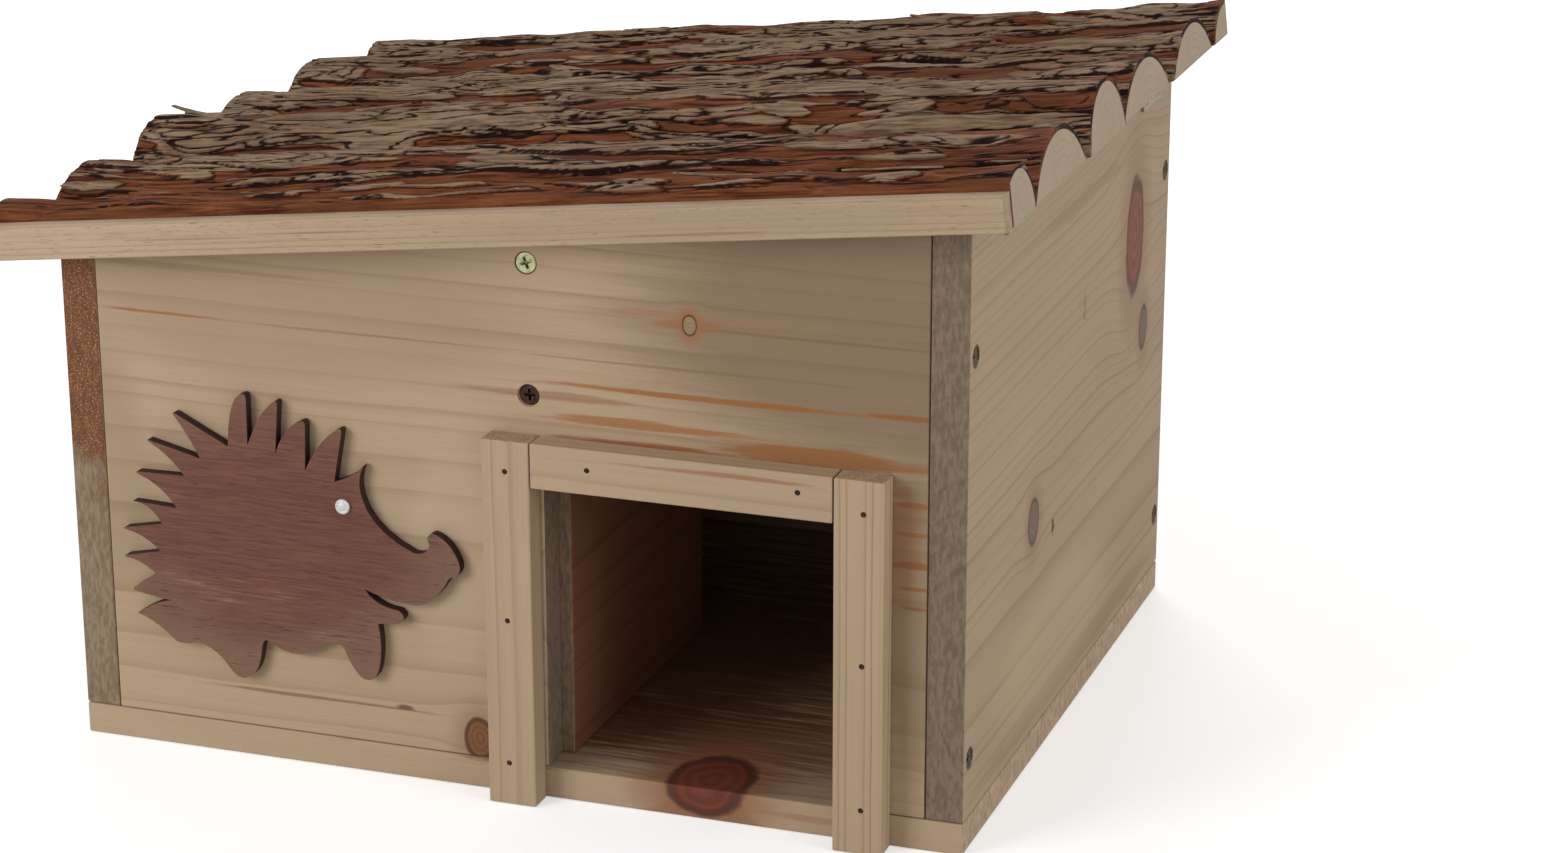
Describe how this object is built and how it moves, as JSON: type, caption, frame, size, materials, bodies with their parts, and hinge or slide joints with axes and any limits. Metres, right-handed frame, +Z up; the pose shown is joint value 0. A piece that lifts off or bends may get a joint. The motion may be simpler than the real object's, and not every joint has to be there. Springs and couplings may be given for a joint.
{
  "type": "hedgehog house",
  "caption": "Wooden hedgehog house with a framed square entrance, an inner partition and a hinged lid of bark-covered log slabs on a prop rod.",
  "frame": {"origin": "middle of the floor board's underside", "axes": "+Z up, the entrance faces -Y, and the roof rises towards +X, where the lid is hinged"},
  "size_m": [0.3895, 0.3304, 0.2593],
  "materials": {
    "pine": "planed, untreated, a little weathered",
    "pale_pine": "planed, untreated",
    "bark": "rough bark on log slabs",
    "stained_plywood": "matt red-brown stain",
    "eye_paint": "satin",
    "yellow_zinc": "yellow zinc plating",
    "steel": "bright zinc plating"
  },
  "bodies": {
    "house": {"floor_board": "pine", "front_wall": "pale_pine", "back_wall": "pine", "left_wall": "pine", "right_wall": "pine", "partition": "pine", "frame_post_left": "pale_pine", "frame_post_right": "pale_pine", "frame_lintel": "pale_pine", "hedgehog_plaque": "stained_plywood", "plaque_eye": "eye_paint", "partition_screw_upper": "yellow_zinc", "partition_screw_lower": "yellow_zinc", "wall_screw_left_front_low": "yellow_zinc", "wall_screw_left_front_high": "yellow_zinc", "wall_screw_left_back_low": "yellow_zinc", "wall_screw_left_back_high": "yellow_zinc", "wall_screw_right_front_low": "yellow_zinc", "wall_screw_right_front_high": "yellow_zinc", "wall_screw_right_back_low": "yellow_zinc", "wall_screw_right_back_high": "yellow_zinc", "hinge_front_wall_leaf": "steel", "hinge_front_pin": "steel", "hinge_front_screw_wall_front": "yellow_zinc", "hinge_front_screw_wall_back": "yellow_zinc", "hinge_back_wall_leaf": "steel", "hinge_back_pin": "steel", "hinge_back_screw_wall_front": "yellow_zinc", "hinge_back_screw_wall_back": "yellow_zinc"},
    "lid": {"roof_slab_1": "bark", "roof_slab_2": "bark", "roof_slab_3": "bark", "roof_slab_4": "bark", "roof_slab_5": "bark", "roof_slab_6": "bark", "roof_fascia": "pale_pine", "roof_batten_left": "pine", "roof_batten_right": "pine", "hinge_front_lid_leaf": "steel", "hinge_front_screw_lid_front": "yellow_zinc", "hinge_front_screw_lid_back": "yellow_zinc", "hinge_back_lid_leaf": "steel", "hinge_back_screw_lid_front": "yellow_zinc", "hinge_back_screw_lid_back": "yellow_zinc", "prop_bracket": "steel"},
    "prop": {"prop_rod": "steel"}
  },
  "joints": [
    {"name": "lid", "type": "hinge", "parent": "house", "child": "lid", "pos_m": [0.1778, 0, 0.23099], "axis": [0, 1, 0], "range_deg": [0, 90]},
    {"name": "prop_rod", "type": "hinge", "parent": "lid", "child": "prop", "pos_m": [-0.14432, 0.006, 0.18106], "axis": [0, 1, 0], "range_deg": [0, 90]}
  ]
}
